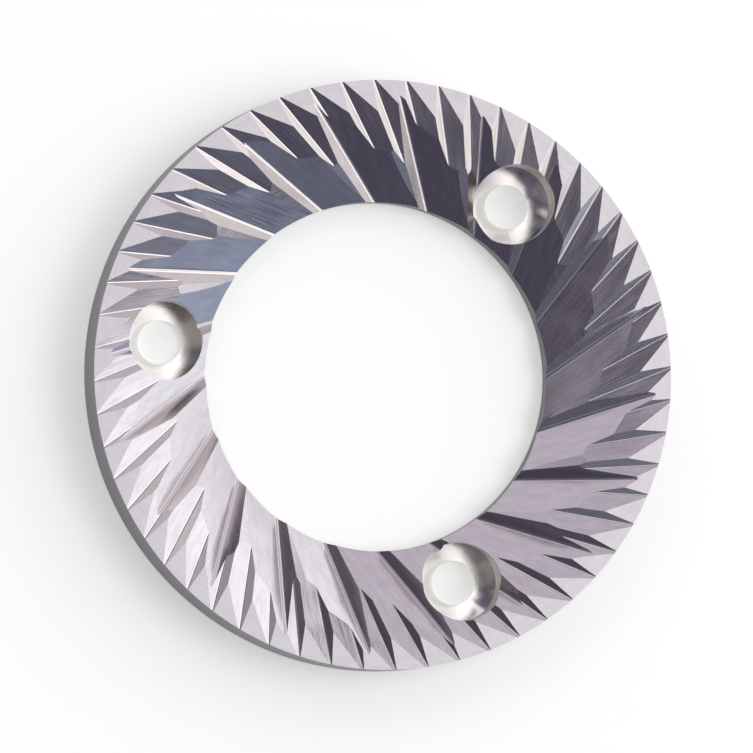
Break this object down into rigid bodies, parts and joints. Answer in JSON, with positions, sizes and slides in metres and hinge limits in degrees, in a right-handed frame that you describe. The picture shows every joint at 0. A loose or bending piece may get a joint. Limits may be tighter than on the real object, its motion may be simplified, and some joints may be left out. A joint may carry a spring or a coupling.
{
  "type": "coffee grinder burr",
  "caption": "Flat ring-shaped grinding burr of machined steel, dished towards a wide bore, with coarse and fine swirled saw teeth and countersunk screw holes.",
  "frame": {"origin": "on the ring's axis, in the plane of its flat back face", "axes": "+Z along the ring's axis from the flat back to the teeth; +X towards the right of the picture; the screw holes stand at 51.7, 171.7 and 291.7 degrees from +X"},
  "size_m": [0.064, 0.064, 0.006],
  "materials": {
    "burr": "milled and ground hardened steel, bright tooth faces with fine cutter marks, satin turned rim and back"
  },
  "bodies": {
    "root": {"burr": "burr"}
  },
  "joints": []
}
